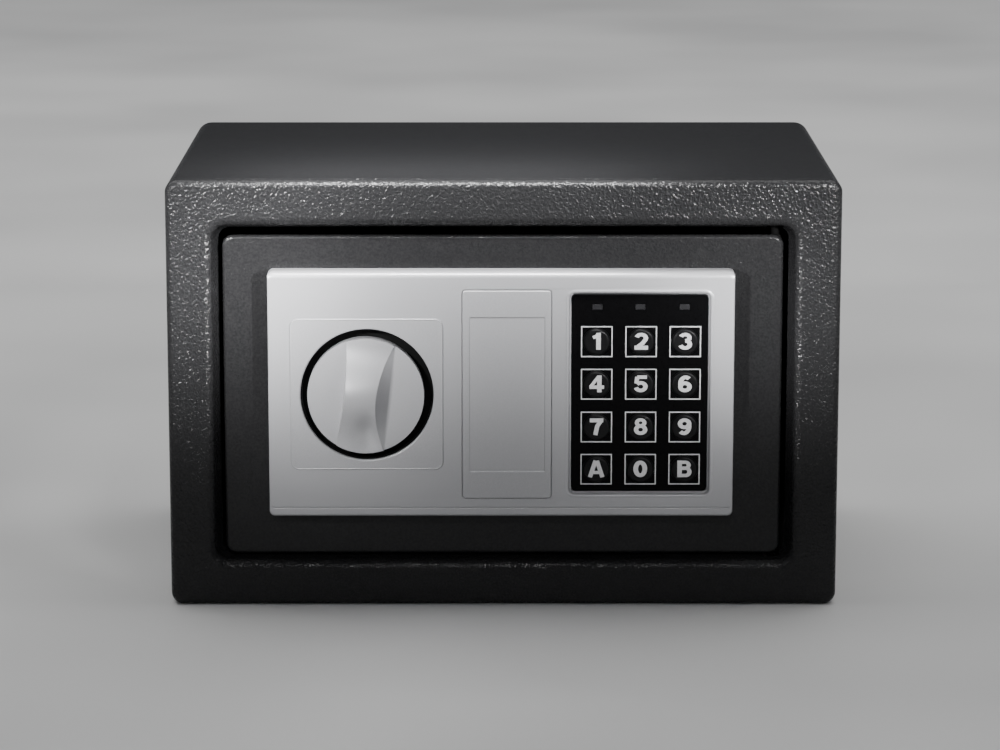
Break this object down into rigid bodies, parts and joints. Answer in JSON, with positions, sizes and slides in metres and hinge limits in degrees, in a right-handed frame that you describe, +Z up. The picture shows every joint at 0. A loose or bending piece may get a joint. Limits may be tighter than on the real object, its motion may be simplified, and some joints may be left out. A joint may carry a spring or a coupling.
{
  "type": "electronic safe",
  "caption": "Small steel safe: folded body and frame, right-hinged recessed door with a turning knob, keypad, key cover, sliding bolts, solenoid, emergency lock and inner cover.",
  "frame": {"origin": "centre of the body's flat bottom face", "axes": "+Z up, +X to the right of someone facing the door, +Y towards the back"},
  "size_m": [0.31, 0.2124, 0.2],
  "materials": {
    "charcoal_paint": "fine textured powder coat, satin",
    "zinc_steel": "bright zinc plating",
    "silver_plastic": "satin silver paint on a moulding",
    "black_overlay": "fine matt film",
    "key_rubber": "satin domed film",
    "lens_grey": "smoked",
    "circuit_green": "solder mask",
    "brass": "turned",
    "black_plastic": "fine moulded grain",
    "cell_wrap": "plain shrink sleeve",
    "red_plastic": "moulded",
    "grey_felt": "needled felt"
  },
  "bodies": {
    "body": {"body_shell": "charcoal_paint", "front_frame": "charcoal_paint", "back_panel": "charcoal_paint", "hinge_bracket_upper": "charcoal_paint", "hinge_bracket_lower": "charcoal_paint", "strike_plate": "charcoal_paint", "floor_mat": "grey_felt"},
    "door": {"door_plate": "charcoal_paint", "hinge_arm_upper": "charcoal_paint", "hinge_arm_lower": "charcoal_paint", "front_panel": "silver_plastic", "keypad_overlay": "black_overlay", "keypad_circuit_board": "circuit_green", "keypad_cable": "black_plastic", "lens_left": "lens_grey", "lens_middle": "lens_grey", "lens_right": "lens_grey", "lock_cylinder": "zinc_steel", "bolt_guide": "zinc_steel", "solenoid_body": "zinc_steel", "inner_cover": "black_plastic", "cover_screw_1": "zinc_steel", "cover_screw_2": "zinc_steel", "cover_screw_3": "zinc_steel", "cover_screw_4": "zinc_steel", "battery_tray": "black_plastic", "battery_1": "cell_wrap", "battery_2": "cell_wrap", "battery_3": "cell_wrap", "battery_4": "cell_wrap"},
    "knob_set": {"knob": "silver_plastic", "drive_cam": "zinc_steel", "knob_screw": "zinc_steel"},
    "carriage": {"bolt_carriage": "zinc_steel", "bolt_upper": "zinc_steel", "bolt_lower": "zinc_steel"},
    "plunger": {"solenoid_plunger": "zinc_steel", "plunger_spring": "zinc_steel"},
    "lock_core": {"lock_plug": "brass", "lock_cam": "zinc_steel"},
    "cover": {"key_cover": "silver_plastic"},
    "lid": {"battery_lid": "black_plastic"},
    "reset": {"reset_button": "red_plastic"},
    "key_1_body": {"key_1": "key_rubber"},
    "key_2_body": {"key_2": "key_rubber"},
    "key_3_body": {"key_3": "key_rubber"},
    "key_4_body": {"key_4": "key_rubber"},
    "key_5_body": {"key_5": "key_rubber"},
    "key_6_body": {"key_6": "key_rubber"},
    "key_7_body": {"key_7": "key_rubber"},
    "key_8_body": {"key_8": "key_rubber"},
    "key_9_body": {"key_9": "key_rubber"},
    "key_a_body": {"key_a": "key_rubber"},
    "key_0_body": {"key_0": "key_rubber"},
    "key_b_body": {"key_b": "key_rubber"}
  },
  "joints": [
    {"name": "door_hinge", "type": "hinge", "parent": "body", "child": "door", "pos_m": [0.125, -0.09, 0.1], "axis": [0, 0, 1], "range_deg": [0, 105]},
    {"name": "knob_turn", "type": "hinge", "parent": "door", "child": "knob_set", "pos_m": [-0.0635, -0.103, 0.1004], "axis": [0, -1, 0], "range_deg": [0, 90]},
    {"name": "bolt_throw", "type": "slide", "parent": "door", "child": "carriage", "axis": [-1, 0, 0], "range_m": [0, 0.0199]},
    {"name": "plunger_drop", "type": "slide", "parent": "door", "child": "plunger", "axis": [0, 0, -1], "range_m": [0, 0.0035], "stiffness_N_per_m": 60, "springref_m": 0.0035, "deforming": ["plunger_spring"]},
    {"name": "lock_turn", "type": "hinge", "parent": "door", "child": "lock_core", "pos_m": [0.0015, -0.1007, 0.11], "axis": [0, 1, 0], "range_deg": [0, 90]},
    {"name": "key_cover_lift", "type": "slide", "parent": "door", "child": "cover", "axis": [0, -1, 0], "range_m": [0, 0.03]},
    {"name": "battery_lid_slide", "type": "slide", "parent": "door", "child": "lid", "axis": [0, 0, -1], "range_m": [0, 0.055]},
    {"name": "reset_press", "type": "slide", "parent": "door", "child": "reset", "axis": [0, -1, 0], "range_m": [0, 0.002], "stiffness_N_per_m": 500},
    {"name": "key_1_press", "type": "slide", "parent": "door", "child": "key_1_body", "axis": [0, 1, 0], "range_m": [0, 0.0007], "stiffness_N_per_m": 800},
    {"name": "key_2_press", "type": "slide", "parent": "door", "child": "key_2_body", "axis": [0, 1, 0], "range_m": [0, 0.0007], "stiffness_N_per_m": 800},
    {"name": "key_3_press", "type": "slide", "parent": "door", "child": "key_3_body", "axis": [0, 1, 0], "range_m": [0, 0.0007], "stiffness_N_per_m": 800},
    {"name": "key_4_press", "type": "slide", "parent": "door", "child": "key_4_body", "axis": [0, 1, 0], "range_m": [0, 0.0007], "stiffness_N_per_m": 800},
    {"name": "key_5_press", "type": "slide", "parent": "door", "child": "key_5_body", "axis": [0, 1, 0], "range_m": [0, 0.0007], "stiffness_N_per_m": 800},
    {"name": "key_6_press", "type": "slide", "parent": "door", "child": "key_6_body", "axis": [0, 1, 0], "range_m": [0, 0.0007], "stiffness_N_per_m": 800},
    {"name": "key_7_press", "type": "slide", "parent": "door", "child": "key_7_body", "axis": [0, 1, 0], "range_m": [0, 0.0007], "stiffness_N_per_m": 800},
    {"name": "key_8_press", "type": "slide", "parent": "door", "child": "key_8_body", "axis": [0, 1, 0], "range_m": [0, 0.0007], "stiffness_N_per_m": 800},
    {"name": "key_9_press", "type": "slide", "parent": "door", "child": "key_9_body", "axis": [0, 1, 0], "range_m": [0, 0.0007], "stiffness_N_per_m": 800},
    {"name": "key_a_press", "type": "slide", "parent": "door", "child": "key_a_body", "axis": [0, 1, 0], "range_m": [0, 0.0007], "stiffness_N_per_m": 800},
    {"name": "key_0_press", "type": "slide", "parent": "door", "child": "key_0_body", "axis": [0, 1, 0], "range_m": [0, 0.0007], "stiffness_N_per_m": 800},
    {"name": "key_b_press", "type": "slide", "parent": "door", "child": "key_b_body", "axis": [0, 1, 0], "range_m": [0, 0.0007], "stiffness_N_per_m": 800}
  ],
  "couplings": [
    {"joint": "bolt_throw", "follows": "knob_turn", "m_per_rad": 0.0126}
  ]
}
